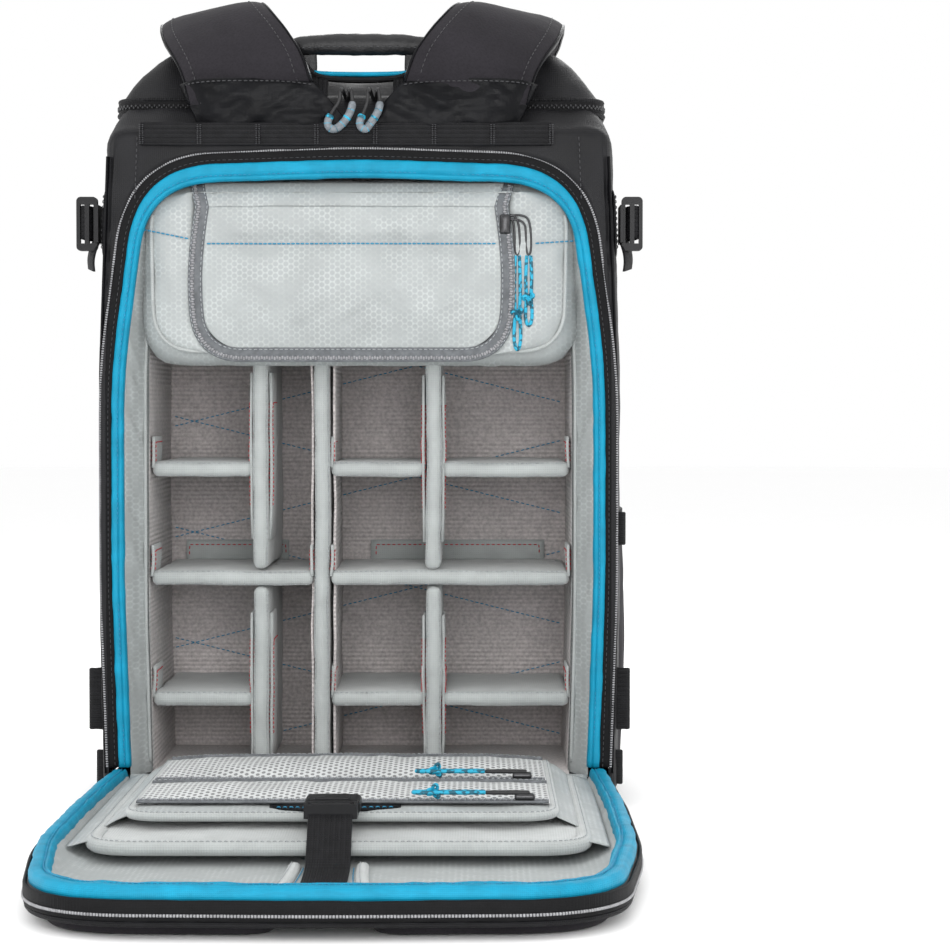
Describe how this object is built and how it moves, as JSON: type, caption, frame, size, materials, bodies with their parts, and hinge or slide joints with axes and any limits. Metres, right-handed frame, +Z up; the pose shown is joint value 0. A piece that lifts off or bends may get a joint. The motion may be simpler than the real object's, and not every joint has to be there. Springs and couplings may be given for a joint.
{
  "type": "camera backpack",
  "caption": "Upright black backpack for camera gear with a fold-down padded back panel, divided grey interior, zipped pouch, top compartment, shoulder straps and grab handle.",
  "frame": {"origin": "centre of the bag's base on the surface that it stands on", "axes": "+Z up, the opening faces -Y, +X to the right when looking into the bag"},
  "size_m": [0.3776, 0.651, 0.535],
  "materials": {
    "shell_fabric": "black coated woven fabric",
    "loop_fabric": "brushed loop fabric with fine ribs",
    "binding": "bright blue woven binding tape",
    "coil_zipper": "black coil zipper on woven tape",
    "grey_zipper": "grey coil zipper on woven tape",
    "strap_foam": "matte knitted fabric over foam",
    "handle_leather": "soft black leather-like fabric",
    "webbing": "black woven webbing",
    "buckle_plastic": "moulded black plastic",
    "grey_ripstop": "light grey honeycomb ripstop",
    "divider_fabric": "light grey padded fabric",
    "mesh_fabric": "light grey hexagonal mesh",
    "slider_metal": "black plated metal",
    "black_cord": "thin black braided cord",
    "cyan_cord": "bright blue braided cord with dark flecks"
  },
  "bodies": {
    "bag": {"back_surround": "shell_fabric", "side_wall_left": "shell_fabric", "side_wall_right": "shell_fabric", "base_wall": "shell_fabric", "front_wall": "shell_fabric", "top_deck": "shell_fabric", "loop_liner": "loop_fabric", "body_zipper": "coil_zipper", "body_trim": "binding", "front_pocket": "shell_fabric", "side_pockets": "shell_fabric", "top_wall": "shell_fabric", "top_zipper": "coil_zipper", "daisy_chain": "webbing", "yoke": "shell_fabric", "anchor_patches": "webbing", "pouch_body": "grey_ripstop", "pouch_zipper": "grey_zipper", "divider_tall": "divider_fabric", "dividers_upright_upper": "divider_fabric", "dividers_upright_lower": "divider_fabric", "shelf_middle_left": "divider_fabric", "shelf_middle_right": "divider_fabric", "shelves_short": "divider_fabric", "top_sliders": "slider_metal", "top_cord_left": "black_cord", "top_cord_right": "black_cord"},
    "lid": {"lid_shell": "shell_fabric", "lid_pads": "strap_foam", "lid_zipper": "coil_zipper", "lid_trim": "binding", "sleeve_panel_lower": "grey_ripstop", "sleeve_panel_upper": "grey_ripstop", "mesh_pocket_near": "mesh_fabric", "mesh_pocket_far": "mesh_fabric", "mesh_zippers": "grey_zipper", "lid_webbing": "webbing", "buckle_female": "buckle_plastic"},
    "lid_buckle": {"buckle_male": "buckle_plastic"},
    "mesh_pull_near": {"mesh_slider_near": "slider_metal", "mesh_cord_near": "cyan_cord"},
    "mesh_pull_far": {"mesh_slider_far": "slider_metal", "mesh_cord_far": "cyan_cord"},
    "top_flap": {"top_flap": "shell_fabric"},
    "handle": {"grab_handle": "handle_leather"},
    "strap_left_upper": {"strap_left_yoke_length": "strap_foam"},
    "strap_left_middle": {"strap_left_top_length": "strap_foam"},
    "strap_left_end": {"strap_left_front_length": "strap_foam", "strap_left_webbing": "webbing"},
    "strap_right_upper": {"strap_right_yoke_length": "strap_foam"},
    "strap_right_middle": {"strap_right_top_length": "strap_foam"},
    "strap_right_end": {"strap_right_front_length": "strap_foam", "strap_right_webbing": "webbing"},
    "buckle_left": {"side_buckle_left": "buckle_plastic"},
    "buckle_right": {"side_buckle_right": "buckle_plastic"},
    "pouch_flap": {"pouch_flap": "grey_ripstop"},
    "pouch_pull": {"pouch_slider": "slider_metal", "pouch_cord_left": "cyan_cord", "pouch_cord_right": "cyan_cord"}
  },
  "joints": [
    {"name": "lid_hinge", "type": "hinge", "parent": "bag", "child": "lid", "pos_m": [0, -0.105, 0.028], "axis": [-1, 0, 0], "range_deg": [0, 90]},
    {"name": "top_flap_hinge", "type": "hinge", "parent": "bag", "child": "top_flap", "pos_m": [0, 0.108, 0.47], "axis": [-1, 0, 0], "range_deg": [0, 100]},
    {"name": "handle_swing", "type": "hinge", "parent": "bag", "child": "handle", "pos_m": [0, -0.084, 0.483], "axis": [-1, 0, 0], "range_deg": [0, 12]},
    {"name": "side_buckle_left_swing", "type": "hinge", "parent": "bag", "child": "buckle_left", "pos_m": [-0.1738, -0.058, 0.389], "axis": [0, 0, -1], "range_deg": [0, 75]},
    {"name": "side_buckle_right_swing", "type": "hinge", "parent": "bag", "child": "buckle_right", "pos_m": [0.1738, -0.058, 0.389], "axis": [0, 0, 1], "range_deg": [0, 75]},
    {"name": "lid_buckle_release", "type": "slide", "parent": "lid", "child": "lid_buckle", "axis": [0, -1, 0], "range_m": [0, 0.014]},
    {"name": "mesh_zip_near", "type": "slide", "parent": "lid", "child": "mesh_pull_near", "axis": [-1, 0, 0], "range_m": [0, 0.18]},
    {"name": "mesh_zip_far", "type": "slide", "parent": "lid", "child": "mesh_pull_far", "axis": [-1, 0, 0], "range_m": [0, 0.18]},
    {"name": "pouch_flap_hinge", "type": "hinge", "parent": "bag", "child": "pouch_flap", "pos_m": [0, -0.0955, 0.3996], "axis": [1, 0, 0], "range_deg": [-90, 0]},
    {"name": "pouch_zip", "type": "slide", "parent": "bag", "child": "pouch_pull", "axis": [0, 0, -1], "range_m": [0, 0.045]},
    {"name": "strap_left_upper_fold", "type": "hinge", "parent": "bag", "child": "strap_left_upper", "pos_m": [-0.08, -0.108, 0.479], "axis": [1, 0, 0], "range_deg": [0, 165]},
    {"name": "strap_left_middle_fold", "type": "hinge", "parent": "strap_left_upper", "child": "strap_left_middle", "pos_m": [-0.08, -0.045, 0.535], "axis": [1, 0, 0], "range_deg": [0, 85]},
    {"name": "strap_left_end_fold", "type": "hinge", "parent": "strap_left_middle", "child": "strap_left_end", "pos_m": [-0.08, 0.136, 0.505], "axis": [1, 0, 0], "range_deg": [0, 65]},
    {"name": "strap_right_upper_fold", "type": "hinge", "parent": "bag", "child": "strap_right_upper", "pos_m": [0.08, -0.108, 0.479], "axis": [1, 0, 0], "range_deg": [0, 165]},
    {"name": "strap_right_middle_fold", "type": "hinge", "parent": "strap_right_upper", "child": "strap_right_middle", "pos_m": [0.08, -0.045, 0.535], "axis": [1, 0, 0], "range_deg": [0, 85]},
    {"name": "strap_right_end_fold", "type": "hinge", "parent": "strap_right_middle", "child": "strap_right_end", "pos_m": [0.08, 0.136, 0.505], "axis": [1, 0, 0], "range_deg": [0, 65]}
  ],
  "couplings": [
    {"joint": "strap_left_upper_fold", "follows": "top_flap_hinge", "ratio": 1.65},
    {"joint": "strap_left_middle_fold", "follows": "top_flap_hinge", "ratio": 0.85},
    {"joint": "strap_left_end_fold", "follows": "top_flap_hinge", "ratio": 0.65},
    {"joint": "strap_right_upper_fold", "follows": "top_flap_hinge", "ratio": 1.65},
    {"joint": "strap_right_middle_fold", "follows": "top_flap_hinge", "ratio": 0.85},
    {"joint": "strap_right_end_fold", "follows": "top_flap_hinge", "ratio": 0.65}
  ]
}
